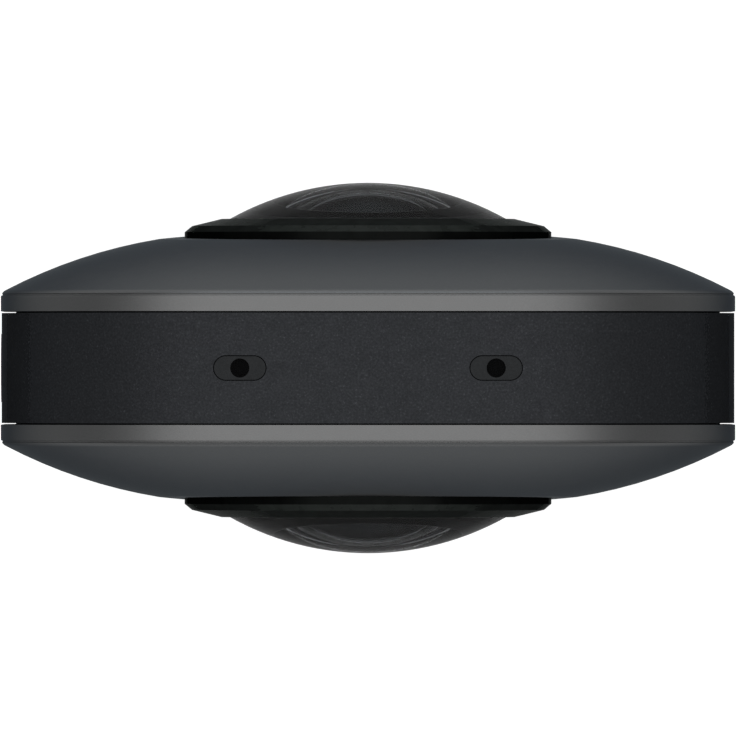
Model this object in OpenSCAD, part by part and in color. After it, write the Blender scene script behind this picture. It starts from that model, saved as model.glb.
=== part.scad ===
// Pocket 360 degree camera: two domed shells on a centre band, with a fisheye lens on each face.
// It stands upright on +Z with its tripod socket at the origin. The front faces -Y.
// Lengths are in millimetres.

/* [Body] */
// Width of the body across its side rims
body_w = 67.4; // [62:0.2:76]
// Height of the body
body_h = 78; // [74:0.5:88]
// Thickness of the body across its two crowns
body_t = 24.9; // [24:0.1:27]
// Radius of the body's corners, and the reach of each dome in from the edge
corner_r = 22; // [20:0.5:22.5]
// Radius that each shell's dome is struck with
dome_r = 46.5; // [45:0.5:56]
// Fillet between a shell's rim and its dome
rim_fillet = 0.8; // [0.6:0.1:1.4]
// Radius of the fine line scribed round the edge of each dome
edge_line_r = 0.1; // [0.06:0.02:0.14]
// Lean of the flat face round each lens, in degrees
face_lean = 0.8; // [0.6:0.05:0.9]
// Wall of a shell's dome
shell_wall = 1.4; // [1.2:0.1:1.6]
// Wall of a shell's rim, outside its seal
rim_wall = 1.6; // [1.4:0.1:1.8]

/* [Centre band] */
// Thickness of the centre band
band_t = 10.1; // [9.6:0.1:10.5]
// How far the band lies inside the outline of the shells
band_inset = 0.08; // [0.04:0.02:0.2]
// Open groove between the band and each shell
groove = 0.15; // [0.1:0.05:0.3]
// Depth of that groove, in to the step that the shell rests on
groove_d = 1.4; // [0.4:0.1:1.5]
// Thickness of the tongue that locates each shell
tongue_t = 0.9; // [0.7:0.1:1.1]
// Height of the tongue above the band's face
tongue_h = 0.55; // [0.45:0.05:0.7]
// Side clearance of the tongue in the shell
tongue_gap = 0.1; // [0.05:0.05:0.2]
// Height of the rubber seal on the tongue
seal_h = 0.5; // [0.3:0.05:0.6]
// Width of the corner lugs that carry the chassis plate
lug_w = 2.4; // [2.2:0.1:3]
// Thickness of the corner lugs
lug_t = 1.2; // [1:0.1:2]

/* [Lens] */
// Distance of the lens axis below the top edge
lens_drop = 30.75; // [29:0.25:33]
// Depth of the bezel's seat below the crown
seat_drop = 1.05; // [0.9:0.05:1.2]
// Radius of the lens bezel
bezel_r = 16.88; // [16.7:0.02:17.4]
// Height of the bezel's outer wall above its seat
bezel_wall_h = 1.1; // [0.9:0.05:1.3]
// Width of the bezel's outer chamfer
bezel_chamfer_w = 0.68; // [0.4:0.02:1]
// Height of the bezel's outer chamfer
bezel_chamfer_h = 0.56; // [0.4:0.02:0.8]
// Radius where the bezel's cone meets its flat lip
bezel_lip_r = 13.5; // [13:0.1:14.5]
// Rise of the bezel's cone up to its lip
bezel_cone_h = 0.66; // [0.4:0.02:0.8]
// Radius of the bezel's spigot in the shell
spigot_r = 13.9; // [13.5:0.1:14]
// Length of the spigot below the seat
spigot_l = 1.5; // [1.3:0.1:1.8]
// Thickness of the boss round each lens, inside the shell
boss_t = 1.6; // [1.4:0.1:1.8]
// Radius of the glass dome's edge
glass_edge_r = 12.7; // [12.3:0.1:12.8]
// Outer radius of curvature of the glass dome
glass_out_r = 26; // [24:0.5:30]
// Radius of curvature of the hollow under the glass dome
glass_in_r = 10.4; // [10:0.1:11.5]
// Thickness of the glass dome at its centre
glass_t = 1.5; // [1.2:0.1:2]
// Height of the glass dome's apex above the bezel's seat
glass_rise = 5.65; // [5.4:0.05:6.2]
// Height of the glass dome's ledge above the bezel's seat
ledge_h = 0.8; // [0.6:0.1:1]
// Width of the ledge under the glass dome
ledge_w = 1.4; // [1.2:0.1:1.5]
// Radius of the lens barrel's cup
cup_r = 10.9; // [10.7:0.1:11]
// Radius of the lens barrel's tube
tube_r = 8; // [7:0.1:8.4]
// Radius of the lens barrel's foot
foot_r = 10.8; // [10.6:0.1:11]
// Thickness of the lens barrel's foot
foot_t = 1.3; // [1:0.1:1.6]
// Radius of the second lens at its rim
inner_lens_r = 8.5; // [8.2:0.1:8.7]
// Radius of curvature of the second lens
inner_lens_curve = 12; // [11:0.5:14]
// Height of the second lens's apex above the bezel's seat
inner_lens_rise = 2.3; // [2:0.1:2.8]
// Thickness of the second lens at its centre
inner_lens_t = 1.3; // [1:0.1:1.6]
// Radius of curvature of the hollow behind the second lens
inner_lens_back = 8.5; // [7.5:0.1:9]
// Width of the second lens's shoulder
shoulder_w = 0.7; // [0.5:0.1:0.9]
// Wall of the retaining ring beyond the second lens
ring_w = 1.35; // [1.2:0.05:1.5]
// Height of the retaining ring
ring_h = 0.9; // [0.7:0.1:1]
// Radius of the rear lens group
relay_r = 3.4; // [3:0.1:4]
// Length of the rear lens group
relay_l = 2.6; // [2:0.1:3]
// Radius of curvature of the rear group's face
relay_curve = 6; // [5:0.25:12]

/* [Buttons] */
// Width of the buttons across the band
button_w = 6.28; // [5.6:0.02:6.6]
// Length of the shutter button
shutter_l = 9.5; // [8:0.1:10.5]
// Height of the shutter button's middle
shutter_z = 50; // [49.8:0.1:50.5]
// Height of the mode button's middle
mode_z = 37.2; // [36.6:0.1:37.6]
// Height of the power button's middle
power_z = 28.6; // [28.4:0.1:29]
// Travel of the buttons
button_travel = 0.35; // [0.2:0.05:0.4]
// Running gap round each button
button_gap = 0.12; // [0.08:0.02:0.2]
// Width of the flange that keeps a button in
button_flange = 0.7; // [0.5:0.1:0.8]
// Thickness of that flange
button_flange_t = 0.6; // [0.4:0.05:0.65]
// Band left outside the button's flange
button_lip = 1.5; // [1.3:0.1:1.6]
// Radius of the button's stem
stem_r = 1; // [0.8:0.1:1.4]
// Radius of the status light
light_r = 0.6; // [0.4:0.05:0.7]

/* [Port door] */
// Thickness of the port door
door_t = 1.6; // [1.4:0.1:1.7]
// Width of the port door across the band
door_w = 7.2; // [6.8:0.1:7.4]
// Height of the door's hinge axis
hinge_z = 27; // [26:0.25:27.5]
// Length of the door above its hinge axis
door_l = 25.5; // [25:0.1:27]
// Corner radius at the door's free end
door_corner_r = 1.4; // [0.8:0.1:2]
// Running gap round the door
door_gap = 0.15; // [0.1:0.05:0.25]
// Radius of the hinge pin
hinge_pin_r = 0.4; // [0.3:0.05:0.5]
// Length of the hinge pin
hinge_pin_l = 9; // [8.6:0.1:9.4]
// Width of the port window behind the door
window_w = 5.2; // [4.8:0.1:5.4]
// Length of the port window
window_l = 21; // [20.6:0.1:21.4]
// Height of the port window's lower end above the hinge axis
window_up = 2.8; // [2.6:0.1:3]
// Wall of the door's seal
door_seal_wall = 0.9; // [0.6:0.1:1.2]
// Height of the door's seal
door_seal_h = 0.72; // [0.5:0.02:0.8]

/* [Sockets] */
// Radius of the tripod socket's bore
socket_bore_r = 2.6; // [2.4:0.05:3]
// Radius of the tripod socket
socket_r = 4; // [3.6:0.1:4.2]
// Depth of the tripod socket
socket_l = 6.9; // [6:0.1:7]
// Wall of the boss round the tripod socket
socket_wall = 0.85; // [0.6:0.05:0.85]
// Length of the charging socket across its mouth
usb_w = 7.5; // [7:0.1:7.8]
// Thickness of the charging socket
usb_t = 2.6; // [2.4:0.1:3]
// Depth of the charging socket
usb_l = 5.6; // [5:0.1:7]
// Width of the card slot
card_w = 12; // [11.6:0.1:12.2]
// Thickness of the card slot
card_t = 1.4; // [1.2:0.1:1.6]
// Depth of the card slot
card_l = 14; // [12:0.5:15]

/* [Microphones] */
// Distance of each microphone port from the middle
mic_x = 11.68; // [10:0.1:13]
// Length of a microphone port's insert
mic_port_l = 4.7; // [4:0.05:5.4]
// Width of a microphone port's insert
mic_port_w = 2.15; // [2:0.05:3]
// Thickness of a microphone port's insert
mic_port_t = 1.2; // [0.8:0.1:1.6]
// Radius of the sound hole
sound_hole_r = 0.875; // [0.6:0.025:0.95]
// Gap round the insert
mic_port_gap = 0.09; // [0.06:0.01:0.2]

/* [Inside] */
// Thickness of the chassis plate
plate_t = 1; // [0.8:0.1:1.2]
// Thickness of the circuit boards
board_t = 0.8; // [0.6:0.1:1]
// Radius of the sensor boards
sensor_board_r = 11; // [10.9:0.05:11.4]
// Width of the image sensors
sensor_w = 9; // [7:0.5:9.5]
// Height of the image sensors
sensor_h = 7; // [5:0.5:7.5]
// Thickness of the image sensors
sensor_t = 1; // [0.7:0.1:1.2]
// Distance of the shell posts from the lens axis
post_ring_r = 15.6; // [15.55:0.05:15.75]
// Radius of the shell posts
post_r = 1.6; // [1.3:0.1:1.8]
// Width of the battery
battery_w = 40; // [36:0.5:41]
// Height of the battery
battery_h = 19; // [16:0.5:19.5]
// Thickness of the battery
battery_t = 6.6; // [5:0.1:7]
// Base and rim wall of the battery tray
tray_t = 0.8; // [0.6:0.1:1]
// Height of the battery tray's rim
tray_rim_h = 3; // [2:0.5:4]
// Width of the processor's shield
shield_w = 26; // [20:1:30]
// Height of the processor's shield
shield_h = 17; // [12:0.5:18]
// Thickness of the processor's shield
shield_t = 2.2; // [1.6:0.1:3]
// Radius of the buzzer
buzzer_r = 4.2; // [3.5:0.1:4.5]
// Thickness of the buzzer
buzzer_t = 2.4; // [2:0.1:3]
// Radius of the small screws' shanks
screw_r = 0.5; // [0.4:0.05:0.6]
// Radius of the small screws' heads
screw_head_r = 0.95; // [0.8:0.05:1]
// Thickness of the small screws' heads
screw_head_t = 0.6; // [0.4:0.05:0.7]
// Clearance where one piece nests in another
fit_gap = 0.05; // [0.02:0.01:0.08]

/* [Hidden] */
$fn = 96;

// Half of the straight run on each side, and the middle of the body's height
side_w = body_w - 2 * corner_r;
side_h = body_h - 2 * corner_r;
mid_z = body_h / 2;

// The dome's arc and the fillet that joins it to the rim
crown = body_t / 2;
dome_c = crown - dome_r;
fillet_x = corner_r - rim_fillet;
fillet_c = dome_c + sqrt(pow(dome_r - rim_fillet, 2) - pow(fillet_x, 2));
fillet_dir = [fillet_x, fillet_c - dome_c] / (dome_r - rim_fillet);
edge_line_turn = 22;
edge_line_dir = [cos(edge_line_turn), sin(edge_line_turn)];

// Distances in from the outline, and heights out from the middle of the band
tongue_d = rim_wall + tongue_gap;
band_wall = tongue_d + tongue_t;
channel_d = band_wall + tongue_gap;
rim_c = band_t / 2 + groove;
tongue_c = band_t / 2 + tongue_h;
land_c = tongue_c + seal_h;

// The lens stack, from the chassis plate out to the glass
lens_z = body_h - lens_drop;
seat_c = crown - seat_drop;
boss_rim = 1.5;
boss_r = bezel_r + boss_rim;
boss_c = seat_c - boss_t;
boss_skin = 0.1;
ledge_c = seat_c + ledge_h;
ledge_r = glass_edge_r + fit_gap - ledge_w;
glass_c = seat_c + glass_rise;
plate_c = plate_t / 2;
foot_c = plate_c + board_t;
ring_gap = 0.2;
ring_c = ledge_c - ring_gap - ring_h;
inner_lens_edge = 1.2;
inner_lens_c = ring_c - inner_lens_edge;
ring_r = inner_lens_r + ring_w;
relay_lip = 0.6;
sensor_air = 0.9;
relay_c = foot_c + sensor_t + sensor_air + relay_lip;
sensor_room = 0.5;
sensor_well_r = norm([sensor_w, sensor_h]) / 2 + sensor_room;
waist_h = 1.9;
waist_c = relay_c + waist_h;

// Screws: where they stand and how deep they go
screw_hole_r = screw_r + fit_gap;
chassis_screw_d = band_wall + lug_w / 2;
lug_angle = 44;
barrel_screw_ring_r = (tube_r + foot_r) / 2;
shell_screw_l = 4;
post_bite = 2;

// Depths in from the left side: the button, its switch and their board
flange_depth = band_inset + button_lip + fit_gap;
stem_l = 1.2;
stem_depth = flange_depth + button_flange_t + stem_l;
plunger_depth = stem_depth + button_travel + fit_gap;
plunger_l = 0.5;
switch_t = 1.2;
switch_depth = plunger_depth + plunger_l;
button_board_depth = switch_depth + switch_t;
switch_w = 4;
plunger_r = 0.9;
board_post_r = 1.4;
button_post_gap = 2.6;
button_post_z = [power_z - button_w / 2 - button_post_gap, shutter_z + shutter_l / 2 + button_post_gap];
button_board_w = 7;
light_z = (shutter_z - shutter_l / 2 + mode_z + button_w / 2) / 2;

// The port door on the right side
hinge_depth = band_inset + door_t / 2;
door_back = band_inset + door_t;
window_z = hinge_z + window_up;
port_gap = 0.1;
port_depth = band_wall + port_gap;
port_margin = 0.3;
usb_z = window_z + port_margin + usb_w / 2;
card_z = window_z + window_l - port_margin - card_w / 2;
nail_r = 1.5;

// The boards, the battery and the microphones
standoff_h = 0.8;
main_c = plate_c + standoff_h;
main_inset = 5.4;
board_room = 1;
main_left_depth = button_board_depth + board_t + screw_head_t + board_room;
main_bottom = 10;
lens_hole_gap = 1.4;
lens_hole_r = foot_r + lens_hole_gap;
standoff_r = 1.5;
standoff_x = 20;
standoff_low = 16;
standoff_drop = 12;
standoff_z = [standoff_low, body_h - standoff_drop];
tray_z = 9.4;
battery_gap = 0.1;
shield_z = 13.5;
buzzer_gap = 3;
notch_gap = 0.7;
mic_wall_z = body_h - band_wall;
mic_board_l = 31;
mic_board_w = 4.4;
mic_post_x = 4.5;
mic_size = [3.5, 2.6, 0.85];
mic_board_z = band_roof(mic_x + mic_size[0] / 2) - fit_gap - mic_size[2];
socket_end = band_inset + socket_l;

// How far a cut runs on past the wall that it goes through
over = 1;

// Height of the outer dome at a distance in from the outline
function dome_at(d) = dome_c + sqrt(pow(dome_r, 2) - pow(corner_r - min(d, corner_r), 2));

// Height of the band's inner wall over a distance from the middle
function band_roof(x) =
    mid_z + side_h / 2 + sqrt(pow(corner_r - band_wall, 2) - pow(max(0, x - side_w / 2), 2));

// Centre of corner k's arc on the face of the body, counted from the upper right
function corner_at(k) = [
    (k == 0 || k == 3 ? 1 : -1) * side_w / 2,
    mid_z + (k < 2 ? 1 : -1) * side_h / 2
];

// Places of the screws in the corner lugs
function chassis_screw_at(k) =
    corner_at(k) + (corner_r - chassis_screw_d) * [cos(45 + 90 * k), sin(45 + 90 * k)];

// Posts and screws of the shells, on a ring round the lens axis
function post_at(k) = post_ring_r * [cos(45 + 90 * k), sin(45 + 90 * k)];

// Turns a face's own frame, which is across, up and outward, to the front or the rear of the body
module on_face(face) {
    if (face == "front") {
        rotate([90, 0, 0]) children();
    } else {
        mirror([0, 1, 0]) rotate([90, 0, 0]) children();
    }
}

// The same frame on the left and right sides, with outward measured from the shells' outline
module on_left() {
    translate([-body_w / 2, 0, 0]) rotate([90, 0, -90]) children();
}

module on_right() {
    translate([body_w / 2, 0, 0]) rotate([90, 0, 90]) children();
}

// Outline of the body, drawn in from its edge
module outline(inset) {
    translate([0, mid_z]) {
        square([body_w - 2 * inset, side_h], center = true);
        square([side_w, body_h - 2 * inset], center = true);
    }
    for (k = [0:3]) {
        translate(corner_at(k)) circle(corner_r - inset);
    }
}

// Band of the outline between two insets
module outline_ring(outer, inner) {
    difference() {
        outline(outer);
        outline(inner);
    }
}

// Oblong with round ends, upright
module oblong(l, w) {
    if (l > w) {
        square([w, l - w], center = true);
    }
    for (s = [-1, 1]) {
        translate([0, s * (l - w) / 2]) circle(w / 2);
    }
}

// Rectangle with round corners, standing on its lower edge
module round_plate(w, h, r) {
    translate([-w / 2 + r, 0]) square([w - 2 * r, h]);
    translate([-w / 2, r]) square([w, h - 2 * r]);
    for (x = [-1, 1], y = [r, h - r]) {
        translate([x * (w / 2 - r), y]) circle(r);
    }
}

// Screw along the outward axis, with its head's underside at zero
module screw(l) {
    cylinder(r = screw_head_r, h = screw_head_t);
    translate([0, 0, -l]) cylinder(r = screw_r, h = l);
}

// Section of a shell from a corner's centre out to the rim, across and outward
module shell_section() {
    difference() {
        intersection() {
            union() {
                difference() {
                    translate([0, dome_c]) circle(dome_r);
                    polygon([
                        [fillet_x, fillet_c],
                        [fillet_x, fillet_c] + 2 * rim_fillet * fillet_dir,
                        [corner_r + rim_fillet, fillet_c + 2 * rim_fillet],
                        [corner_r + rim_fillet, fillet_c]
                    ]);
                }
                translate([fillet_x, fillet_c]) circle(rim_fillet);
            }
            translate([0, rim_c]) square([corner_r, crown]);
        }
        intersection() {
            translate([0, dome_c]) circle(dome_r - shell_wall);
            square([corner_r - channel_d, crown]);
        }
        translate([corner_r - channel_d, 0]) square([channel_d - rim_wall, land_c]);
        translate([fillet_x, fillet_c] + rim_fillet * edge_line_dir) circle(edge_line_r);
    }
}

// Carries a section round the outline: a turn at each corner and a straight run on each side
module swept_round() {
    for (k = [0:3]) {
        run = k % 2 == 0 ? side_h : side_w;
        reach = k % 2 == 0 ? side_w / 2 : side_h / 2;
        translate(corner_at(k)) rotate(90 * k) rotate_extrude(angle = 90) children();
        translate([0, mid_z, 0]) rotate(90 * k) translate([reach, 0, 0]) rotate([90, 0, 0])
            linear_extrude(run, center = true) children();
    }
}

// Half shell: the swept wall, its crown with the leaning face, and the screwed boss for the lens bezel
module shell() {
    boss_top = min(seat_c, dome_at(lens_drop - boss_r), dome_at(body_w / 2 - boss_r)) - boss_skin;
    color("#55585c") difference() {
        union() {
            swept_round() shell_section();
            translate([-side_w / 2, mid_z - side_h / 2, crown - shell_wall])
                cube([side_w, side_h, shell_wall]);
            translate([0, lens_z, boss_c]) cylinder(r = boss_r, h = boss_top - boss_c);
        }
        translate([0, lens_z + bezel_r, dome_at(lens_drop - bezel_r)]) rotate([-face_lean, 0, 0])
            translate([-body_w / 2, -body_h, 0]) cube([body_w, 2 * body_h, crown]);
        translate([0, lens_z, 0]) {
            translate([0, 0, seat_c]) cylinder(r = bezel_r + fit_gap, h = crown);
            cylinder(r = spigot_r + fit_gap, h = body_t);
            for (k = [0:3]) {
                translate(post_at(k)) {
                    cylinder(r = screw_hole_r, h = body_t);
                    translate([0, 0, seat_c - fit_gap - screw_head_t])
                        cylinder(r = screw_head_r + fit_gap, h = crown);
                }
            }
        }
    }
}

module seal() {
    color("#202020") translate([0, 0, tongue_c])
        linear_extrude(seal_h) outline_ring(tongue_d + fit_gap, band_wall - fit_gap);
}

// Holes for the buttons, with a wider pocket inside for each flange
module button_hole(l, z) {
    translate([0, z, -band_wall - over]) {
        linear_extrude(band_wall + 2 * over) oblong(l + 2 * button_gap, button_w + 2 * button_gap);
        linear_extrude(over + band_wall - band_inset - button_lip)
            oblong(l + 2 * (button_flange + button_gap), button_w + 2 * (button_flange + button_gap));
    }
}

// Centre band: ring, steps, tongues, corner lugs, socket boss and posts, cut for all that passes through it
module mid_frame() {
    color("#232527") difference() {
        union() {
            rotate([90, 0, 0]) {
                linear_extrude(band_t, center = true) outline_ring(band_inset, band_wall);
                linear_extrude(band_t + 2 * groove, center = true) outline_ring(groove_d, band_wall);
                linear_extrude(band_t + 2 * tongue_h, center = true) outline_ring(tongue_d, band_wall);
                for (k = [0:3]) {
                    translate(corner_at(k)) rotate(90 * k + 45 - lug_angle / 2)
                        translate([0, 0, -plate_c - lug_t]) rotate_extrude(angle = lug_angle)
                        translate([corner_r - band_wall - lug_w, 0]) square([lug_w + tongue_t / 2, lug_t]);
                }
            }
            translate([0, 0, band_wall / 2])
                cylinder(r = socket_r + socket_wall, h = socket_end + socket_wall - band_wall / 2);
            on_left() {
                for (z = button_post_z) {
                    translate([0, z, -button_board_depth])
                        cylinder(r = board_post_r, h = button_board_depth - band_wall + tongue_t / 2);
                }
            }
            for (x = [-1, 1]) {
                translate([x * mic_post_x, 0, mic_board_z])
                    cylinder(r = board_post_r, h = mic_wall_z + tongue_t / 2 - mic_board_z);
            }
        }
        cylinder(r = socket_r + fit_gap, h = 2 * socket_end, center = true);
        on_left() {
            button_hole(shutter_l, shutter_z);
            button_hole(button_w, mode_z);
            button_hole(button_w, power_z);
            translate([0, light_z, -2 * band_wall]) cylinder(r = light_r + fit_gap, h = 4 * band_wall);
            for (z = button_post_z) {
                translate([0, z, -2 * button_board_depth])
                    cylinder(r = screw_hole_r, h = button_board_depth + post_bite);
            }
        }
        on_right() {
            translate([0, hinge_z - door_t / 2 - door_gap, -door_back - door_gap])
                linear_extrude(door_back + over)
                door_outline(door_gap);
            translate([0, window_z, -2 * band_wall]) linear_extrude(2 * band_wall)
                round_plate(window_w, window_l, door_corner_r);
            translate([0, hinge_z + door_l, 0]) rotate([0, 90, 0])
                cylinder(r = nail_r, h = door_w / 2, center = true);
            translate([0, hinge_z, -hinge_depth]) rotate([0, 90, 0])
                cylinder(r = hinge_pin_r + fit_gap / 2, h = hinge_pin_l, center = true);
        }
        for (x = [-1, 1]) {
            translate([x * mic_x, 0, body_h - band_inset - mic_port_t])
                linear_extrude(band_wall) rotate(90)
                oblong(mic_port_l + 2 * mic_port_gap, mic_port_w + 2 * mic_port_gap);
            translate([x * mic_x, 0, mic_wall_z - over]) cylinder(r = sound_hole_r, h = band_wall);
            translate([x * mic_post_x, 0, mic_board_z - over])
                cylinder(r = screw_hole_r, h = over + post_bite);
        }
        rotate([90, 0, 0]) {
            for (k = [0:3]) {
                translate(chassis_screw_at(k)) cylinder(r = screw_hole_r, h = body_t, center = true);
            }
        }
    }
}

// Outline of the door and of its recess: square at the hinge, round at the free end
module door_outline(gap) {
    w = door_w + 2 * gap;
    h = door_t / 2 + door_l + 2 * gap;
    r = door_corner_r + gap;
    translate([-w / 2, 0]) square([w, h - r]);
    intersection() {
        round_plate(w, h, r);
        translate([-w / 2, h - 2 * r]) square([w, 2 * r]);
    }
}

// Push button: a cap flush with the shells' outline, its flange and its stem
module button(l, z) {
    color("#1b1c1e") on_left() translate([0, z, 0]) {
        translate([0, 0, -flange_depth]) linear_extrude(flange_depth) oblong(l, button_w);
        translate([0, 0, -flange_depth - button_flange_t]) linear_extrude(button_flange_t)
            oblong(l + 2 * button_flange, button_w + 2 * button_flange);
        translate([0, 0, -stem_depth]) cylinder(r = stem_r, h = stem_depth - flange_depth);
    }
}

module shutter_button() {
    button(shutter_l, shutter_z);
}

module mode_button() {
    button(button_w, mode_z);
}

module power_button() {
    button(button_w, power_z);
}

// Light pipe from the band's face in to its lamp on the button board
module status_light() {
    color("#dfe6ea") on_left() translate([0, light_z, -button_board_depth])
        cylinder(r = light_r, h = button_board_depth - band_inset);
}

// Cover over the ports: a flat plate that turns on a knuckle at its lower end
module port_door() {
    color("#232527") on_right() difference() {
        union() {
            intersection() {
                translate([0, hinge_z - door_t / 2, -door_back]) linear_extrude(door_t) door_outline(0);
                translate([-door_w, hinge_z, -door_back]) cube([2 * door_w, 2 * door_l, door_t]);
            }
            translate([0, hinge_z, -hinge_depth]) rotate([0, 90, 0])
                cylinder(r = door_t / 2, h = door_w, center = true);
        }
        translate([0, hinge_z, -hinge_depth]) rotate([0, 90, 0])
            cylinder(r = hinge_pin_r + fit_gap, h = 2 * door_w, center = true);
    }
}

// Rubber frame on the back of the door, which plugs the port window
module door_seal() {
    w = window_w - 2 * door_gap;
    h = window_l - 2 * door_gap;
    r = door_corner_r - door_gap;
    color("#303030") on_right() translate([0, window_z + door_gap, -door_back - door_seal_h])
        linear_extrude(door_seal_h) difference() {
            round_plate(w, h, r);
            translate([0, door_seal_wall])
                round_plate(w - 2 * door_seal_wall, h - 2 * door_seal_wall, r / 2);
        }
}

module hinge_pin() {
    color("#b9bcc0") on_right() translate([0, hinge_z, -hinge_depth]) rotate([0, 90, 0])
        cylinder(r = hinge_pin_r, h = hinge_pin_l, center = true);
}

// Oblong insert with a sound hole, cut to the band's own outer curve
module mic_port(side) {
    color("#2b2d30") difference() {
        intersection() {
            translate([side * mic_x, 0, body_h - band_inset - mic_port_t])
                linear_extrude(2 * mic_port_t)
                rotate(90) oblong(mic_port_l, mic_port_w);
            rotate([90, 0, 0]) linear_extrude(band_t, center = true) outline(band_inset);
        }
        translate([side * mic_x, 0, body_h / 2]) cylinder(r = sound_hole_r, h = body_h);
    }
}

module left_mic_port() {
    mic_port(-1);
}

module right_mic_port() {
    mic_port(1);
}

// Threaded brass insert for a tripod screw, with a lead-in at its mouth
module tripod_socket() {
    lead = 0.6;
    color("#b08d4a") difference() {
        translate([0, 0, band_inset]) cylinder(r = socket_r, h = socket_l);
        cylinder(r = socket_bore_r, h = 2 * socket_l);
        translate([0, 0, band_inset - fit_gap])
            cylinder(r1 = socket_bore_r + lead, r2 = socket_bore_r, h = lead);
    }
}

// Stands a turned piece on the lens axis of a face
module on_lens(face) {
    on_face(face) translate([0, lens_z, 0]) children();
}

// Stepped ring round the glass: wall, chamfer, shallow cone and flat lip, on a spigot in the shell
module lens_bezel() {
    chamfer_c = seat_c + bezel_wall_h;
    cone_c = chamfer_c + bezel_chamfer_h;
    color("#141514") rotate_extrude() polygon([
        [spigot_r, seat_c - spigot_l],
        [spigot_r, seat_c],
        [bezel_r, seat_c],
        [bezel_r, chamfer_c],
        [bezel_r - bezel_chamfer_w, cone_c],
        [bezel_lip_r, cone_c + bezel_cone_h],
        [glass_edge_r + fit_gap, cone_c + bezel_cone_h],
        [glass_edge_r + fit_gap, ledge_c],
        [ledge_r, ledge_c],
        [ledge_r, seat_c - spigot_l]
    ]);
}

// Thick meniscus of glass that closes the lens: its flat rim sits on the bezel's ledge
module lens_dome() {
    color([0.55, 0.58, 0.62, 0.35]) rotate_extrude() difference() {
        intersection() {
            translate([0, glass_c - glass_out_r]) circle(glass_out_r);
            translate([0, ledge_c]) square([glass_edge_r, glass_rise]);
        }
        translate([0, glass_c - glass_t - glass_in_r]) circle(glass_in_r);
    }
}

// Turned barrel: foot on the sensor board, tube for the rear group and cup for the second lens
module lens_barrel() {
    color("#0e0f10") difference() {
        rotate_extrude() polygon([
            [sensor_well_r, foot_c],
            [foot_r, foot_c],
            [foot_r, foot_c + foot_t],
            [tube_r, foot_c + foot_t],
            [tube_r, waist_c],
            [cup_r, waist_c + cup_r - tube_r],
            [cup_r, ledge_c],
            [ring_r + fit_gap, ledge_c],
            [ring_r + fit_gap, ring_c],
            [inner_lens_r + fit_gap, ring_c],
            [inner_lens_r + fit_gap, inner_lens_c],
            [inner_lens_r - shoulder_w, inner_lens_c],
            [relay_r + fit_gap, relay_c + relay_l],
            [relay_r + fit_gap, relay_c],
            [relay_r - relay_lip, relay_c],
            [relay_r - relay_lip, relay_c - relay_lip],
            [sensor_well_r, relay_c - relay_lip]
        ]);
        for (k = [0:3]) {
            rotate(90 * k) translate([barrel_screw_ring_r, 0, 0])
                cylinder(r = screw_hole_r, h = seat_c / 2);
        }
    }
}

// Second lens: a steep dome on a shouldered rim, hollow behind
module inner_lens() {
    apex_c = seat_c + inner_lens_rise;
    color([0.45, 0.48, 0.55, 0.5]) rotate_extrude() difference() {
        union() {
            translate([0, inner_lens_c]) square([inner_lens_r, inner_lens_edge]);
            intersection() {
                translate([0, apex_c - inner_lens_curve]) circle(inner_lens_curve);
                translate([0, ring_c - inner_lens_edge / 2])
                    square([inner_lens_r - shoulder_w, inner_lens_rise + inner_lens_edge]);
            }
        }
        translate([0, apex_c - inner_lens_t - inner_lens_back]) circle(inner_lens_back);
    }
}

// Ring that holds the second lens by its shoulder, with its inner edge bevelled
module retaining_ring() {
    inner_r = inner_lens_r - shoulder_w + fit_gap;
    bevel = ring_h / 3;
    color("#17181a") rotate_extrude() polygon([
        [inner_r, ring_c],
        [ring_r, ring_c],
        [ring_r, ring_c + ring_h - bevel],
        [ring_r - bevel, ring_c + ring_h],
        [inner_r + bevel, ring_c + ring_h],
        [inner_r, ring_c + ring_h - bevel]
    ]);
}

// Cemented group of small lenses in the barrel's tube, domed towards the second lens
module relay_lens() {
    color([0.5, 0.55, 0.65, 0.5]) rotate_extrude() intersection() {
        translate([0, relay_c]) square([relay_r, relay_l]);
        translate([0, relay_c + relay_l - relay_curve]) circle(relay_curve);
    }
}

module sensor_board() {
    color("#1f4d2e") difference() {
        translate([0, 0, plate_c]) cylinder(r = sensor_board_r, h = board_t);
        for (k = [0:3]) {
            rotate(90 * k) translate([barrel_screw_ring_r, 0, 0]) cylinder(r = screw_hole_r, h = seat_c);
        }
    }
}

module sensor() {
    color("#3a3350") translate([-sensor_w / 2, -sensor_h / 2, foot_c]) cube([sensor_w, sensor_h, sensor_t]);
}

// Turns the screws of the rear lens away from those of the front lens, so that they miss in the plate
function lens_turn(face) = face == "front" ? 0 : 45;

module chassis_holes() {
    for (k = [0:3]) {
        translate(chassis_screw_at(k)) cylinder(r = screw_hole_r, h = body_t, center = true);
    }
}

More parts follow.
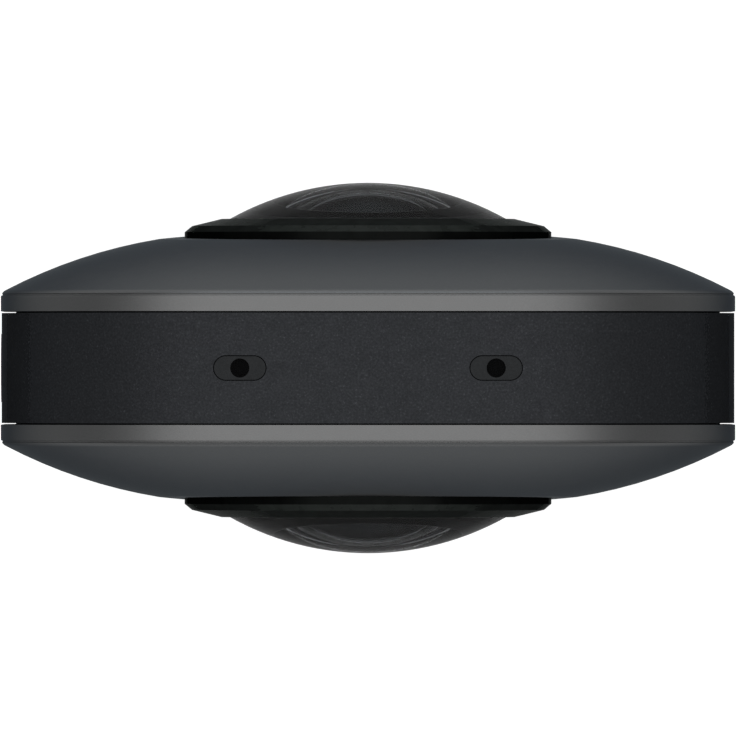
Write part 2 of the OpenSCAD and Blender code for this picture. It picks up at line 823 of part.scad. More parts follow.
// Metal plate across the middle, with posts to both shells and standoffs for the main board
module chassis_plate() {
    notch_z = button_post_z[0] - board_post_r - notch_gap;
    notch_h = button_post_z[1] + board_post_r + notch_gap - notch_z;
    port_x = body_w / 2 - port_depth - max(usb_l, card_l) - notch_gap;
    socket_notch = socket_r + socket_wall + notch_gap;
    mic_notch = mic_board_l + 2 * notch_gap;
    color("#8b8f94") difference() {
        union() {
            rotate([90, 0, 0]) linear_extrude(plate_t, center = true) difference() {
                outline(band_wall + door_gap);
                translate([-body_w / 2, notch_z]) square([main_left_depth, notch_h]);
                translate([port_x, window_z - notch_gap]) square([body_w, window_l + 2 * notch_gap]);
                translate([-socket_notch, 0])
                    square([2 * socket_notch, socket_end + socket_wall + notch_gap]);
                translate([-mic_notch / 2, mic_board_z - board_t - screw_head_t - notch_gap])
                    square([mic_notch, body_h]);
            }
            for (face = ["front", "rear"], k = [0:3]) {
                on_lens(face) translate(post_at(k)) cylinder(r = post_r, h = boss_c);
            }
            on_face("rear") {
                for (x = [-1, 1], z = standoff_z) {
                    translate([x * standoff_x, z, 0]) cylinder(r = standoff_r, h = main_c);
                }
            }
        }
        for (face = ["front", "rear"], k = [0:3]) {
            on_lens(face) translate(post_at(k)) translate([0, 0, boss_c - shell_screw_l])
                cylinder(r = screw_hole_r, h = body_t);
            on_lens(face) rotate(lens_turn(face) + 90 * k) translate([barrel_screw_ring_r, 0, 0])
                cylinder(r = screw_hole_r, h = 4 * plate_t, center = true);
        }
        on_face("rear") {
            for (x = [-1, 1], z = standoff_z) {
                translate([x * standoff_x, z, 0]) cylinder(r = screw_hole_r, h = body_t, center = true);
            }
        }
        rotate([90, 0, 0]) chassis_holes();
    }
}

// Main circuit board behind the plate, cut clear of the rear lens and the shell posts
module main_board() {
    color("#1d4a2b") on_face("rear") translate([0, 0, main_c]) linear_extrude(board_t) difference() {
        intersection() {
            outline(main_inset);
            translate([main_left_depth - body_w / 2, main_bottom]) square([body_w, body_h]);
        }
        translate([0, lens_z]) circle(lens_hole_r);
        for (k = [0:3]) {
            translate([0, lens_z] + post_at(k)) circle(post_r + door_gap);
        }
        for (x = [-1, 1], z = standoff_z) {
            translate([x * standoff_x, z]) circle(screw_hole_r);
        }
    }
}

module processor_shield() {
    color("#a9adb2") on_face("rear") translate([-shield_w / 2, shield_z, main_c + board_t])
        cube([shield_w, shield_h, shield_t]);
}

module buzzer() {
    color("#26282b") on_face("rear")
        translate([0, lens_z + lens_hole_r + buzzer_r + buzzer_gap, main_c + board_t])
        difference() {
            cylinder(r = buzzer_r, h = buzzer_t);
            translate([0, 0, buzzer_t / 2]) cylinder(r = buzzer_r / 5, h = buzzer_t);
        }
}

// Flat cell, round along its long edges like a wrapped pouch
module battery() {
    r = battery_t / 2;
    color("#3b4a63") on_face("front")
        translate([0, tray_z + tray_t + battery_gap, plate_c + tray_t])
        rotate([0, 90, 0]) linear_extrude(battery_w, center = true) {
            translate([-battery_t, r]) square([battery_t, battery_h - 2 * r]);
            for (y = [r, battery_h - r]) {
                translate([-r, y]) circle(r);
            }
        }
}

module battery_tray() {
    w = battery_w + 2 * (tray_t + battery_gap);
    h = battery_h + 2 * (tray_t + battery_gap);
    color("#2a2c2e") on_face("front") translate([0, tray_z, plate_c]) difference() {
        translate([-w / 2, 0, 0]) cube([w, h, tray_rim_h]);
        translate([-w / 2 + tray_t, tray_t, tray_t]) cube([w - 2 * tray_t, h - 2 * tray_t, tray_rim_h]);
    }
}

module button_board() {
    low = button_post_z[0] - board_post_r;
    color("#1d4a2b") on_left() translate([0, 0, -button_board_depth - board_t]) linear_extrude(board_t)
        difference() {
            translate([-button_board_w / 2, low])
                square([button_board_w, button_post_z[1] + board_post_r - low]);
            for (z = button_post_z) {
                translate([0, z]) circle(screw_hole_r);
            }
        }
}

// One click switch behind each button
module tact_switches() {
    color("#c9ccd0") on_left() {
        for (z = [shutter_z, mode_z, power_z]) {
            translate([-switch_w / 2, z - switch_w / 2, -button_board_depth])
                cube([switch_w, switch_w, button_board_depth - switch_depth]);
            translate([0, z, -button_board_depth]) cylinder(r = plunger_r, h = button_board_depth - plunger_depth);
        }
    }
}

// Charging socket: a rounded metal shell with the contact tongue inside
module usb_port() {
    wall = 0.3;
    tongue = 0.7;
    color("#b4b8bc") on_right() translate([main_c - usb_t / 2, usb_z, -port_depth - usb_l]) {
        difference() {
            linear_extrude(usb_l) oblong(usb_w, usb_t);
            translate([0, 0, wall]) linear_extrude(usb_l) oblong(usb_w - 2 * wall, usb_t - 2 * wall);
        }
        translate([-tongue / 2, -usb_w / 2 + usb_t / 2, 0]) cube([tongue, usb_w - usb_t, usb_l - 2 * wall]);
    }
}

// Memory card slot: a flat can, open towards the door
module card_slot() {
    wall = 0.2;
    color("#b4b8bc") on_right() translate([main_c - card_t, card_z - card_w / 2, -port_depth - card_l])
        difference() {
            cube([card_t, card_w, card_l]);
            translate([wall, wall, wall]) cube([card_t - 2 * wall, card_w - 2 * wall, card_l]);
        }
}

module microphones() {
    color("#c7b37a") for (x = [-1, 1]) {
        translate([x * mic_x - mic_size[0] / 2, -mic_size[1] / 2, mic_board_z]) cube(mic_size);
    }
}

module mic_board() {
    color("#1d4a2b") translate([0, 0, mic_board_z - board_t]) linear_extrude(board_t) difference() {
        square([mic_board_l, mic_board_w], center = true);
        for (x = [-1, 1]) {
            translate([x * mic_post_x, 0]) circle(screw_hole_r);
        }
    }
}

// Four screws hold the chassis plate on the band's lugs
module chassis_screws() {
    color("#8e9297") on_face("front") {
        for (k = [0:3]) {
            translate(chassis_screw_at(k)) translate([0, 0, plate_c]) screw(plate_t + lug_t);
        }
    }
}

// Four screws under each bezel hold the shells on the chassis posts
module shell_screws() {
    color("#8e9297") for (face = ["front", "rear"], k = [0:3]) {
        on_lens(face) translate(post_at(k)) translate([0, 0, seat_c - fit_gap - screw_head_t])
            screw(shell_screw_l);
    }
}

// Four screws hold each lens barrel and its sensor board on the plate
module barrel_screws() {
    color("#8e9297") for (face = ["front", "rear"], k = [0:3]) {
        on_lens(face) rotate(lens_turn(face) + 90 * k)
            translate([barrel_screw_ring_r, 0, foot_c + foot_t]) screw(foot_t + board_t + plate_t);
    }
}

// Screws of the main board, the button board and the microphone board
module board_screws() {
    color("#8e9297") {
        on_face("rear") {
            for (x = [-1, 1], z = standoff_z) {
                translate([x * standoff_x, z, main_c + board_t]) screw(board_t + standoff_h + plate_t);
            }
        }
        on_left() {
            for (z = button_post_z) {
                translate([0, z, -button_board_depth - board_t]) mirror([0, 0, 1]) screw(board_t + post_bite);
            }
        }
        for (x = [-1, 1]) {
            translate([x * mic_post_x, 0, mic_board_z - board_t]) mirror([0, 0, 1]) screw(board_t + post_bite);
        }
    }
}

// The pieces that each face has
module front_shell() {
    on_face("front") shell();
}

module rear_shell() {
    on_face("rear") shell();
}

module front_seal() {
    on_face("front") seal();
}

module rear_seal() {
    on_face("rear") seal();
}

module front_lens_bezel() {
    on_lens("front") lens_bezel();
}

module rear_lens_bezel() {
    on_lens("rear") lens_bezel();
}

module front_lens_dome() {
    on_lens("front") lens_dome();
}

module rear_lens_dome() {
    on_lens("rear") lens_dome();
}

module front_lens_barrel() {
    on_lens("front") rotate(lens_turn("front")) lens_barrel();
}

module rear_lens_barrel() {
    on_lens("rear") rotate(lens_turn("rear")) lens_barrel();
}

module front_inner_lens() {
    on_lens("front") inner_lens();
}

module rear_inner_lens() {
    on_lens("rear") inner_lens();
}

module front_retaining_ring() {
    on_lens("front") retaining_ring();
}

module rear_retaining_ring() {
    on_lens("rear") retaining_ring();
}

module front_relay_lens() {
    on_lens("front") relay_lens();
}

module rear_relay_lens() {
    on_lens("rear") relay_lens();
}

module front_sensor_board() {
    on_lens("front") rotate(lens_turn("front")) sensor_board();
}

module rear_sensor_board() {
    on_lens("rear") rotate(lens_turn("rear")) sensor_board();
}

module front_sensor() {
    on_lens("front") sensor();
}

module rear_sensor() {
    on_lens("rear") sensor();
}

mid_frame();
front_shell();
rear_shell();
front_seal();
rear_seal();
front_lens_bezel();
rear_lens_bezel();
front_lens_dome();
rear_lens_dome();
front_lens_barrel();
rear_lens_barrel();
front_inner_lens();
rear_inner_lens();
front_retaining_ring();
rear_retaining_ring();
front_relay_lens();
rear_relay_lens();
front_sensor_board();
rear_sensor_board();
front_sensor();
rear_sensor();
chassis_plate();
main_board();
processor_shield();
battery();
battery_tray();
buzzer();
shutter_button();
mode_button();
power_button();
button_board();
tact_switches();
status_light();
port_door();
door_seal();
hinge_pin();
usb_port();
card_slot();
tripod_socket();
left_mic_port();
right_mic_port();
microphones();
mic_board();
chassis_screws();
shell_screws();
barrel_screws();
board_screws();
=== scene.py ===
"""Looks of the 360 degree camera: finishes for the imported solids, fine detail pieces, stage and camera."""

import math

import bmesh
import bpy
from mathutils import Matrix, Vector


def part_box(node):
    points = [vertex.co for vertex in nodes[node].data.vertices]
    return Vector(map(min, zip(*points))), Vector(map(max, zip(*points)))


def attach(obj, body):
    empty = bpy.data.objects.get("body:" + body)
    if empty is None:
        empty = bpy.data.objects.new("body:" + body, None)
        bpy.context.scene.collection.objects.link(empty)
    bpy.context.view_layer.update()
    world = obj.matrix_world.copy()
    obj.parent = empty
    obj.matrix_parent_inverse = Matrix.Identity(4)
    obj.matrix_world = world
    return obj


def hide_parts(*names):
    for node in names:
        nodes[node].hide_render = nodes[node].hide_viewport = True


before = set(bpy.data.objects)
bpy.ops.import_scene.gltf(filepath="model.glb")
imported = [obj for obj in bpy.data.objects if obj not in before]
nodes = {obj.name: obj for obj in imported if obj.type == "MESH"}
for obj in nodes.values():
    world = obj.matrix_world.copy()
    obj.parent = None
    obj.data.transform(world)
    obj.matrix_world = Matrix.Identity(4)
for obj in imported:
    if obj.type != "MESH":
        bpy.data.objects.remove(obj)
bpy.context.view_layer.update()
MM = 0.001
WHITE = (1.0, 1.0, 1.0)


# Node helpers

def new_material(name):
    """An empty node material: its tree, its surface shader and object coordinates in metres."""
    mat = bpy.data.materials.new(name)
    mat.use_nodes = True
    tree = mat.node_tree
    shader = tree.nodes["Principled BSDF"]
    coord = tree.nodes.new("ShaderNodeTexCoord").outputs["Object"]
    return mat, tree, shader, coord


def noise(tree, vector, scale, detail=3.0, rough=0.55):
    """Cloudy values round 0.5, finer at a larger scale."""
    node = tree.nodes.new("ShaderNodeTexNoise")
    node.inputs["Scale"].default_value = scale
    node.inputs["Detail"].default_value = detail
    node.inputs["Roughness"].default_value = rough
    tree.links.new(vector, node.inputs["Vector"])
    return node.outputs["Fac"]


def ramp(tree, factor, stops):
    """Colours along a factor: stops are (place, (r, g, b))."""
    node = tree.nodes.new("ShaderNodeValToRGB")
    points = node.color_ramp.elements
    while len(points) < len(stops):
        points.new(0.5)
    for point, (place, colour) in zip(points, stops):
        point.position = place
        point.color = (*colour, 1.0)
    tree.links.new(factor, node.inputs["Fac"])
    return node.outputs["Color"]


def spread(tree, factor, low, high, start=0.3, stop=0.7):
    """A value that goes from low to high while the factor goes from start to stop."""
    node = tree.nodes.new("ShaderNodeMapRange")
    node.inputs["From Min"].default_value = start
    node.inputs["From Max"].default_value = stop
    node.inputs["To Min"].default_value = low
    node.inputs["To Max"].default_value = high
    tree.links.new(factor, node.inputs["Value"])
    return node.outputs["Result"]


def calc(tree, operation, first, second=None):
    """A math node on two values, each a socket or a plain number."""
    node = tree.nodes.new("ShaderNodeMath")
    node.operation = operation
    for place, value in enumerate((first, second)):
        if isinstance(value, float):
            node.inputs[place].default_value = value
        elif value is not None:
            tree.links.new(value, node.inputs[place])
    return node.outputs[0]


def scaled(tree, colour, by):
    """A colour socket times a value socket."""
    node = tree.nodes.new("ShaderNodeVectorMath")
    node.operation = "SCALE"
    tree.links.new(colour, node.inputs[0])
    tree.links.new(by, node.inputs["Scale"])
    return node.outputs["Vector"]


def from_point(tree, coord, point):
    """Coordinates counted from a point."""
    node = tree.nodes.new("ShaderNodeMapping")
    node.inputs["Location"].default_value = tuple(-point)
    tree.links.new(coord, node.inputs["Vector"])
    return node.outputs["Vector"]


def split(tree, vector):
    """A vector's X, Y and Z sockets."""
    node = tree.nodes.new("ShaderNodeSeparateXYZ")
    tree.links.new(vector, node.inputs["Vector"])
    return node.outputs


def mix(tree, factor, first, second):
    """Two shaders mixed by a value: 0 is the first alone, 1 the second."""
    node = tree.nodes.new("ShaderNodeMixShader")
    tree.links.new(factor, node.inputs["Fac"])
    tree.links.new(first, node.inputs[1])
    tree.links.new(second, node.inputs[2])
    return node.outputs[0]


def relief(tree, shader, height, depth, strength=1.0):
    """Fine relief in the shading, from a height of 0 to 1."""
    node = tree.nodes.new("ShaderNodeBump")
    node.inputs["Strength"].default_value = strength
    node.inputs["Distance"].default_value = depth
    tree.links.new(height, node.inputs["Height"])
    tree.links.new(node.outputs["Normal"], shader.inputs["Normal"])


def gloss(shader, metal, level, edge):
    """How metallic and how shiny a finish is, and the tint of its shine at a low angle."""
    shader.inputs["Metallic"].default_value = metal
    shader.inputs["Specular IOR Level"].default_value = level
    shader.inputs["Specular Tint"].default_value = (*edge, 1.0)


def shade(colour, by):
    """A plain colour made darker or brighter."""
    return tuple(c * by for c in colour)


# Finishes

lens_low, lens_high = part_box("rear_lens_dome")
LENS_MIDDLE = Vector((0.0, 0.0, (lens_low.z + lens_high.z) / 2))
BLEND = 0.02 * MM           # over this length one finish goes into the next on the same piece
PAINT_W = 0.03 * MM         # how far the black paint of a lens reaches in from its rim
PAINT_BLACK = (0.004, 0.004, 0.004)
PAINT_ROUGH = 0.55
WAVE_RATE = 20              # the wave texture's own factor on a length
SHEEN = (0.168, 0.208, 0.236)
STEEL = dict(colour=(0.56, 0.57, 0.58), rough=0.3, metal=1.0, grain=4000.0, vary=0.08)


def grained(name, colour, rough, metal=0.0, level=0.5, edge=WHITE, grain=5000.0, vary=0.12, depth=0.0,
            rough_vary=0.05, coat=0.0):
    """A moulded, painted or plated finish: fine grain in its colour, its gloss and its relief."""
    mat, tree, shader, coord = new_material(name)
    fine = noise(tree, coord, grain)
    coarse = noise(tree, coord, grain / 9)
    tone = ramp(tree, fine, [(0.3, shade(colour, 1 - vary)), (0.5, colour), (0.7, shade(colour, 1 + vary))])
    tree.links.new(tone, shader.inputs["Base Color"])
    tree.links.new(spread(tree, coarse, rough - rough_vary, rough + rough_vary), shader.inputs["Roughness"])
    gloss(shader, metal, level, edge)
    shader.inputs["Coat Weight"].default_value = coat
    if depth:
        relief(tree, shader, fine, depth)
    return mat


def sparkled(name, colour, rough, metal, edge):
    """The band's black finish: fine grain with a few brighter flakes in it."""
    mat, tree, shader, coord = new_material(name)
    fine = noise(tree, coord, 5200.0, detail=2.0, rough=0.6)
    cloud = noise(tree, coord, 700.0)
    cells = tree.nodes.new("ShaderNodeTexVoronoi")
    cells.inputs["Scale"].default_value = 4200.0
    tree.links.new(coord, cells.inputs["Vector"])
    tone = ramp(tree, fine, [(0.3, shade(colour, 0.78)), (0.52, colour), (0.66, shade(colour, 1.2)),
                             (0.76, shade(colour, 2.0))])
    tree.links.new(tone, shader.inputs["Base Color"])
    tree.links.new(spread(tree, cloud, rough - 0.06, rough + 0.06), shader.inputs["Roughness"])
    gloss(shader, metal, 0.0, edge)
    relief(tree, shader, cells.outputs["Distance"], 0.006 * MM, 0.5)
    return mat


def turned(name, colour, rough, metal=0.0, level=0.4, edge=WHITE, cut=None, step=0.06 * MM,
           depth=0.004 * MM):
    """A ring turned on a lathe, with fine tool marks round the lens axis, 2 pi steps apart.
    A cut is (start, stop, gain, after): two heights out from the middle, and how many times brighter the
    colour is painted between them and beyond the second. This is a painted sheen of the light on the ring."""
    mat, tree, shader, coord = new_material(name)
    lens_coord = from_point(tree, coord, LENS_MIDDLE)
    wave = tree.nodes.new("ShaderNodeTexWave")
    wave.wave_type = "RINGS"
    wave.rings_direction = "Y"
    wave.inputs["Scale"].default_value = 1 / step / WAVE_RATE
    wave.inputs["Distortion"].default_value = 0.4
    tree.links.new(lens_coord, wave.inputs["Vector"])
    cloud = noise(tree, coord, 900.0)
    tone = ramp(tree, cloud, [(0.3, shade(colour, 0.85)), (0.7, shade(colour, 1.15))])
    # painted sheen: the colour is made brighter between two heights out from the middle and beyond them
    if cut is not None:
        start, stop, gain, after = cut
        out = calc(tree, "ABSOLUTE", split(tree, lens_coord)["Y"])
        begun = spread(tree, out, 1.0, gain, start - BLEND, start + BLEND)
        ended = spread(tree, out, 1.0, after / gain, stop - BLEND, stop + BLEND)
        tone = scaled(tree, tone, calc(tree, "MULTIPLY", begun, ended))
    tree.links.new(tone, shader.inputs["Base Color"])
    tree.links.new(spread(tree, cloud, rough - 0.05, rough + 0.05), shader.inputs["Roughness"])
    gloss(shader, metal, level, edge)
    relief(tree, shader, wave.outputs["Fac"], depth, 0.35)
    return mat


def glass(name, node, tint, ior, coats):
    """Optical glass, clear on its faces and painted black on its flat rim and its edge.
    Its coats are (slant, share) pairs: the share of the reflections that the coating takes away there.
    The lamps' light goes straight through it to the pieces behind."""
    mat, tree, shader, coord = new_material(name)
    low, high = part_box(node)
    rim_r, rim_y = high.x - PAINT_W, low.y + PAINT_W
    axes = split(tree, from_point(tree, coord, LENS_MIDDLE))
    across = tree.nodes.new("ShaderNodeCombineXYZ")
    tree.links.new(axes["X"], across.inputs["X"])
    tree.links.new(axes["Z"], across.inputs["Z"])
    radius = tree.nodes.new("ShaderNodeVectorMath")
    radius.operation = "LENGTH"
    tree.links.new(across.outputs["Vector"], radius.inputs[0])
    inside = spread(tree, radius.outputs["Value"], 1.0, 0.0, rim_r - BLEND, rim_r)
    above = spread(tree, calc(tree, "ABSOLUTE", axes["Y"]), 0.0, 1.0, rim_y, rim_y + BLEND)
    clear = calc(tree, "MULTIPLY", inside, above)
    tone = calc(tree, "MULTIPLY", clear, spread(tree, noise(tree, coord, 160.0), 0.96, 1.0))
    tree.links.new(ramp(tree, tone, [(0.0, PAINT_BLACK), (1.0, tint)]), shader.inputs["Base Color"])
    tree.links.new(clear, shader.inputs["Transmission Weight"])
    tree.links.new(spread(tree, tone, PAINT_ROUGH, 0.0, 0.0, 0.98), shader.inputs["Roughness"])
    shader.inputs["IOR"].default_value = ior
    shader.inputs["Specular IOR Level"].default_value = 0.1
    face_tint = (*(math.sqrt(c) for c in tint), 1.0)
    bare = tree.nodes.new("ShaderNodeBsdfRefraction")
    bare.inputs["Color"].default_value = face_tint
    bare.inputs["Roughness"].default_value = 0.0
    bare.inputs["IOR"].default_value = ior
    slant = tree.nodes.new("ShaderNodeLayerWeight").outputs["Facing"]
    coating = ramp(tree, slant, [(at, (share,) * 3) for at, share in coats])
    coated = mix(tree, calc(tree, "MULTIPLY", clear, coating), shader.outputs[0], bare.outputs[0])
    passing = tree.nodes.new("ShaderNodeBsdfTransparent")
    passing.inputs["Color"].default_value = face_tint
    shadow = tree.nodes.new("ShaderNodeLightPath").outputs["Is Shadow Ray"]
    lit = mix(tree, calc(tree, "MULTIPLY", shadow, clear), coated, passing.outputs[0])
    tree.links.new(lit, tree.nodes["Material Output"].inputs["Surface"])
    return mat


def socket_can(name, node, tongue_t, tongue_w):
    """A plated can with a black moulded tongue in its middle."""
    mat = grained(name, **STEEL)
    tree = mat.node_tree
    shader = tree.nodes["Principled BSDF"]
    low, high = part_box(node)
    coord = tree.nodes.new("ShaderNodeTexCoord").outputs["Object"]
    axes = split(tree, from_point(tree, coord, (low + high) / 2))
    thin = calc(tree, "LESS_THAN", calc(tree, "ABSOLUTE", axes["Y"]), tongue_t / 2 + BLEND)
    narrow = calc(tree, "LESS_THAN", calc(tree, "ABSOLUTE", axes["Z"]), tongue_w / 2 + BLEND)
    bare = calc(tree, "SUBTRACT", 1.0, calc(tree, "MULTIPLY", thin, narrow))
    plated = shader.inputs["Base Color"].links[0].from_socket
    toned = scaled(tree, plated, spread(tree, bare, 0.03, 1.0, 0.0, 1.0))
    tree.links.new(toned, shader.inputs["Base Color"])
    tree.links.new(bare, shader.inputs["Metallic"])
    return mat


def dress(mat, *names):
    """Gives the named pieces their finish."""
    for name in names:
        for slot in nodes[name].material_slots:
            slot.material = mat


def both(piece):
    """The names of a piece that is there in front and behind."""
    return ["front_" + piece, "rear_" + piece]


shell_metal = grained("shell_metal", (0.111, 0.111, 0.111), 0.45, metal=1.0, edge=SHEEN, grain=9000.0,
                      vary=0.05, depth=0.001 * MM, rough_vary=0.01)
band_black = sparkled("band_black", (0.0240, 0.0250, 0.0272), 0.5, 0.5, SHEEN)
insert_black = grained("insert_black", (0.0190, 0.0198, 0.0206), 0.5, metal=0.6, level=0.0, edge=SHEEN,
                       grain=6000.0)
button_black = grained("button_black", (0.0190, 0.0196, 0.0204), 0.45, metal=0.6, level=0.0, edge=SHEEN,
                       grain=6000.0, depth=0.002 * MM)
LIP_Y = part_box("rear_lens_bezel")[1].y
# painted sheen: the bezel's outer 1.22 mm toward the lip is painted 5 times brighter than the black wall, its
# last 0.66 mm 7.5 times
bezel_black = turned("bezel_black", (0.0047, 0.0051, 0.0048), 0.3, metal=0.6, level=0.0,
                     edge=(0.13, 0.14, 0.135), cut=(LIP_Y - 1.22 * MM, LIP_Y - 0.66 * MM, 5.0, 7.5))
barrel_black = turned("barrel_black", (0.0050, 0.0050, 0.0052), 0.45, level=0.3, step=0.4 * MM,
                      depth=0.02 * MM)
RING_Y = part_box("rear_retaining_ring")[1].y
# painted highlight: a band from 0.28 to 0.03 mm under the ring's top is painted 17 times brighter, so that it
# shows as bright arcs through the lens
ring_black = turned("ring_black", (0.055, 0.055, 0.057), 0.35,
                    cut=(RING_Y - 0.28 * MM, RING_Y - 0.03 * MM, 17.0, 1.0))
DOME_COATS = [(0.0, 0.99), (0.35, 0.98), (0.6, 0.93), (0.75, 0.87), (0.95, 0.68)]
LENS_COATS = [(0.0, 0.99), (0.35, 0.97), (0.6, 0.88), (0.75, 0.75), (0.95, 0.40)]
dome_glass = glass("dome_glass", "rear_lens_dome", (0.85, 0.86, 0.87), 1.5, DOME_COATS)
lens_glass = glass("lens_glass", "rear_inner_lens", (0.80, 0.81, 0.82), 1.6, LENS_COATS)
relay_glass = glass("relay_glass", "rear_relay_lens", (0.55, 0.50, 0.66), 1.6, LENS_COATS)
seal_rubber = grained("seal_rubber", (0.010, 0.010, 0.011), 0.8, level=0.15, grain=4000.0, depth=0.004 * MM)
socket_brass = grained("socket_brass", (0.55, 0.40, 0.17), 0.32, metal=1.0, grain=4000.0, vary=0.1)
chassis_metal = grained("chassis_metal", (0.50, 0.51, 0.52), 0.42, metal=1.0, grain=3000.0, vary=0.08,
                        depth=0.003 * MM)
plain_steel = grained("plain_steel", **STEEL)
circuit_board = grained("circuit_board", (0.012, 0.045, 0.020), 0.45, level=0.4, grain=900.0, vary=0.35)
chip_black = grained("chip_black", (0.012, 0.012, 0.013), 0.5, grain=5000.0, depth=0.003 * MM)
battery_wrap = grained("battery_wrap", (0.030, 0.032, 0.036), 0.4, grain=1200.0, vary=0.2, coat=0.3)
contact_gold = grained("contact_gold", (0.72, 0.52, 0.22), 0.25, metal=1.0, grain=6000.0, vary=0.06)
light_pipe = grained("light_pipe", (0.62, 0.66, 0.68), 0.25, grain=2500.0, vary=0.06)
TONGUE_T = 0.7 * MM
TONGUE_W = 4.9 * MM
port_can = socket_can("port_can", "usb_port", TONGUE_T, TONGUE_W)
shield_tin = grained("shield_tin", (0.60, 0.60, 0.58), 0.35, metal=1.0, grain=2200.0, vary=0.1)

dress(shell_metal, *both("shell"))
dress(band_black, "mid_frame", "port_door")
dress(insert_black, "left_mic_port", "right_mic_port")
dress(button_black, "shutter_button", "mode_button", "power_button")
dress(bezel_black, *both("lens_bezel"))
dress(barrel_black, *both("lens_barrel"))
dress(ring_black, *both("retaining_ring"))
dress(dome_glass, *both("lens_dome"))
dress(lens_glass, *both("inner_lens"))
dress(relay_glass, *both("relay_lens"))
dress(seal_rubber, *both("seal"), "door_seal", "microphones")
dress(socket_brass, "tripod_socket")
dress(chassis_metal, "chassis_plate")
dress(port_can, "usb_port")
dress(plain_steel, "hinge_pin", "card_slot", "chassis_screws", "shell_screws", "barrel_screws",
      "board_screws")
dress(circuit_board, "main_board", "button_board", "mic_board", *both("sensor_board"))
dress(chip_black, "tact_switches", "buzzer", "battery_tray", *both("sensor"))
dress(battery_wrap, "battery")
dress(shield_tin, "processor_shield")
dress(light_pipe, "status_light")


# Fine detail pieces

def add_piece(name, bm, mat, sharp=30.0):
    """Makes a mesh piece of the camera's body, smooth except at its sharp edges."""
    bmesh.ops.recalc_face_normals(bm, faces=bm.faces)
    mesh = bpy.data.meshes.new(name)
    bm.to_mesh(mesh)
    bm.free()
    mesh.shade_smooth()
    mesh.set_sharp_from_angle(angle=math.radians(sharp))
    mesh.materials.append(mat)
    piece = bpy.data.objects.new(name, mesh)
    bpy.context.scene.collection.objects.link(piece)
    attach(piece, "camera_body")
    return piece


def threaded_insert(steps=72, rows=16):
    """The tripod socket's insert, with the 1/4-20 thread cut in its bore."""
    pitch, bore_r, root_r, lead = 1.27 * MM, 2.6 * MM, 3.175 * MM, 0.6 * MM
    flank_top, flank_span = 0.82, 0.68      # of the way from a root's middle to a crest's
    weld = 0.0005 * MM
    low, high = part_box("tripod_socket")
    outer_r = (high.x - low.x) / 2
    last = rows * (math.ceil((high.z - low.z) / pitch) + 2)
    bm = bmesh.new()

    def vert(r, step, z):
        turn = 2 * math.pi * step / steps
        return bm.verts.new((r * math.cos(turn), r * math.sin(turn), z))

    columns = []
    for step in range(steps):
        column = []
        for row in range(last + 1):
            z = min(max(low.z + pitch * (row / rows + step / steps - 1), low.z), high.z)
            flank = abs(((z - low.z) / pitch - step / steps) % 1.0 - 0.5) * 2
            cut = min(max((flank_top - flank) / flank_span, 0.0), 1.0)
            r = max(bore_r + (root_r - bore_r) * cut, bore_r + lead - (z - low.z))
            column.append(vert(r, step, z))
        columns.append(column)
    base = [vert(outer_r, step, low.z) for step in range(steps)]
    top = [vert(outer_r, step, high.z) for step in range(steps)]
    for step in range(steps):
        after = (step + 1) % steps
        near, far = columns[step], columns[after]
        shift = rows if after == 0 else 0
        for row in range(last - shift):
            bm.faces.new((near[row], far[row + shift], far[row + shift + 1], near[row + 1]))
        bm.faces.new((base[step], base[after], far[0], near[0]))
        bm.faces.new((top[step], near[last], far[last], top[after]))
        bm.faces.new((base[step], top[step], top[after], base[after]))
    bmesh.ops.remove_doubles(bm, verts=bm.verts, dist=weld)
    piece = add_piece("threaded_insert", bm, socket_brass)
    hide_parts("tripod_socket")


def contacts(name, count, pitch, middle, size, mat):
    """A row of flat contacts along the height, each with rounded edges."""
    bm = bmesh.new()
    for k in range(count):
        lot = bmesh.ops.create_cube(bm, size=1.0)["verts"]
        bmesh.ops.scale(bm, vec=Vector(size), verts=lot)
        bmesh.ops.translate(bm, vec=Vector(middle) + Vector((0, 0, (k - (count - 1) / 2) * pitch)), verts=lot)
    bmesh.ops.bevel(bm, geom=bm.edges[:], offset=min(size) * 0.35, segments=2, profile=0.5, affect="EDGES")
    add_piece(name, bm, mat, 50.0)


threaded_insert()
CONTACT_COUNT = 8
CONTACT_PITCH = 0.5 * MM
CONTACT_SIZE = (2.6 * MM, 0.08 * MM, 0.26 * MM)
CONTACT_IN = 2.0 * MM       # from the socket's mouth to a contact's middle
port_low, port_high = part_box("usb_port")
for side, end in ((-1, "left"), (1, "right")):
    contacts("port_contacts_" + end, CONTACT_COUNT, CONTACT_PITCH,
             (port_high.x - CONTACT_IN, (port_low.y + port_high.y + side * TONGUE_T) / 2,
              (port_low.z + port_high.z) / 2),
             CONTACT_SIZE, contact_gold)


# Stage

FLOOR_SIZE = 12.0
FLOOR_Z = -0.0002           # just under the base
FLOOR_TONE = 0.42
FLOOR_GLOW = 0.82           # with the lamps' light on it, this makes the floor white
FILL_AIM = (0, 0, 0.04)
FILL_SIZE = (0.9, 0.5)
FILL_COOL = (0.86, 0.94, 1.0)
AIR_COLOUR = (0.90, 0.96, 1.0)
AIR_STRENGTH = 0.16
AIR_MIRRORED = 0.25         # the share of white that metal and glass see in the air
EYE_Z = 3.056               # far up, with a long lens: the photograph shows next to no perspective
EYE_LENS = 1599.0
EYE_SENSOR = 36.0


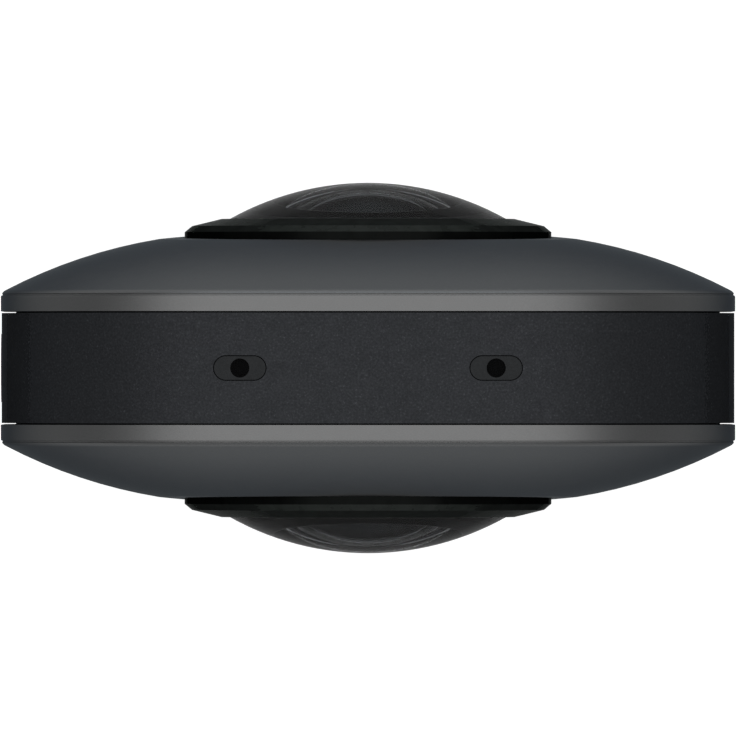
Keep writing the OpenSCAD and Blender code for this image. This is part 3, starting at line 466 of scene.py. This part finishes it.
def make_floor():
    """A pale floor that keeps the object's shadow, white to the eye and through clear pieces.
    In glossy pieces it carries a painted shadow, dimmer close to the object and most of all in front of it,
    and painted shade away to the sides.
    Seen from below it isn't there, so that the base can be looked at."""
    bpy.ops.mesh.primitive_plane_add(size=FLOOR_SIZE, location=(0, 0, FLOOR_Z))
    floor = bpy.context.object
    floor.name = "floor"
    mat, tree, shader, coord = new_material("floor_pale")
    tree.nodes.remove(shader)
    paper = tree.nodes.new("ShaderNodeBsdfDiffuse")
    paper.inputs["Color"].default_value = (FLOOR_TONE, FLOOR_TONE, FLOOR_TONE, 1.0)
    glow = tree.nodes.new("ShaderNodeEmission")
    glow.inputs["Color"].default_value = (*WHITE, 1.0)
    rays = tree.nodes.new("ShaderNodeLightPath").outputs
    seen = calc(tree, "MAXIMUM", rays["Is Camera Ray"], rays["Is Transmission Ray"])
    axes = split(tree, coord)
    # painted shadow and shade, seen only in reflections: the glow that glossy rays see is dimmer close to the
    # object, most of all in front of it, and dimmer to the sides
    near = spread(tree, axes["Y"], 0.2, 0.45, -0.03, 0.03)
    far = spread(tree, calc(tree, "ABSOLUTE", axes["Y"]), 0.0, 1.0, 0.04, 0.13)
    away = calc(tree, "ADD", near, calc(tree, "MULTIPLY", far, calc(tree, "SUBTRACT", 1.0, near)))
    painted_side_shade = spread(tree, calc(tree, "ABSOLUTE", axes["X"]), 1.0, 0.65, 0.02, 0.15)
    glossy_painted_shade = calc(tree, "MULTIPLY", away, painted_side_shade)
    bright = calc(tree, "MAXIMUM", calc(tree, "MULTIPLY", seen, FLOOR_GLOW),
                  calc(tree, "MULTIPLY", rays["Is Glossy Ray"], glossy_painted_shade))
    tree.links.new(bright, glow.inputs["Strength"])
    top = tree.nodes.new("ShaderNodeAddShader")
    tree.links.new(paper.outputs[0], top.inputs[0])
    tree.links.new(glow.outputs[0], top.inputs[1])
    below = tree.nodes.new("ShaderNodeNewGeometry").outputs["Backfacing"]
    nothing = tree.nodes.new("ShaderNodeBsdfTransparent").outputs[0]
    one_way = mix(tree, below, top.outputs[0], nothing)
    tree.links.new(one_way, tree.nodes["Material Output"].inputs["Surface"])
    floor.data.materials.append(mat)


def make_lamp(name, place, aim, size, power, colour=WHITE):
    """A lamp that lights and shines on the pieces, and isn't seen itself, through glass either."""
    data = bpy.data.lights.new(name, "AREA")
    data.shape = "RECTANGLE"
    data.size, data.size_y = size
    data.energy = power
    data.color = colour
    lamp = bpy.data.objects.new(name, data)
    lamp.location = place
    lamp.rotation_euler = (Vector(aim) - Vector(place)).to_track_quat("-Z", "Y").to_euler()
    lamp.visible_camera = False
    lamp.visible_transmission = False
    bpy.context.scene.collection.objects.link(lamp)


def make_world():
    """Soft light from all round, white to the eye and partly so in metal and glass."""
    world = bpy.context.scene.world or bpy.data.worlds.new("studio")
    bpy.context.scene.world = world
    world.use_nodes = True
    tree = world.node_tree
    air = tree.nodes["Background"]
    air.inputs["Color"].default_value = (*AIR_COLOUR, 1.0)
    air.inputs["Strength"].default_value = AIR_STRENGTH
    white = tree.nodes.new("ShaderNodeBackground")
    white.inputs["Color"].default_value = (*WHITE, 1.0)
    rays = tree.nodes.new("ShaderNodeLightPath").outputs
    bounced = calc(tree, "MAXIMUM", rays["Is Glossy Ray"], rays["Is Transmission Ray"])
    seen = calc(tree, "MAXIMUM", rays["Is Camera Ray"], calc(tree, "MULTIPLY", bounced, AIR_MIRRORED))
    backdrop = mix(tree, seen, air.outputs[0], white.outputs[0])
    tree.links.new(backdrop, tree.nodes["World Output"].inputs["Surface"])


make_floor()
make_lamp("overhead", (0, 0.06, 0.98), (0, 0.06, 0), (1.7, 1.7), 14.8)
make_lamp("front_fill", (0, -1.3, 0.5), FILL_AIM, FILL_SIZE, 0.9, FILL_COOL)
make_lamp("rear_fill", (0, 1.3, 0.5), FILL_AIM, FILL_SIZE, 3.6, FILL_COOL)
make_world()

camera = bpy.data.objects.new("camera", bpy.data.cameras.new("camera"))
camera.location = (0, 0, EYE_Z)
camera.data.lens = EYE_LENS
camera.data.sensor_width = EYE_SENSOR
camera.data.clip_end = 10.0
bpy.context.scene.collection.objects.link(camera)
bpy.context.scene.camera = camera
bpy.context.scene.view_settings.view_transform = "Standard"
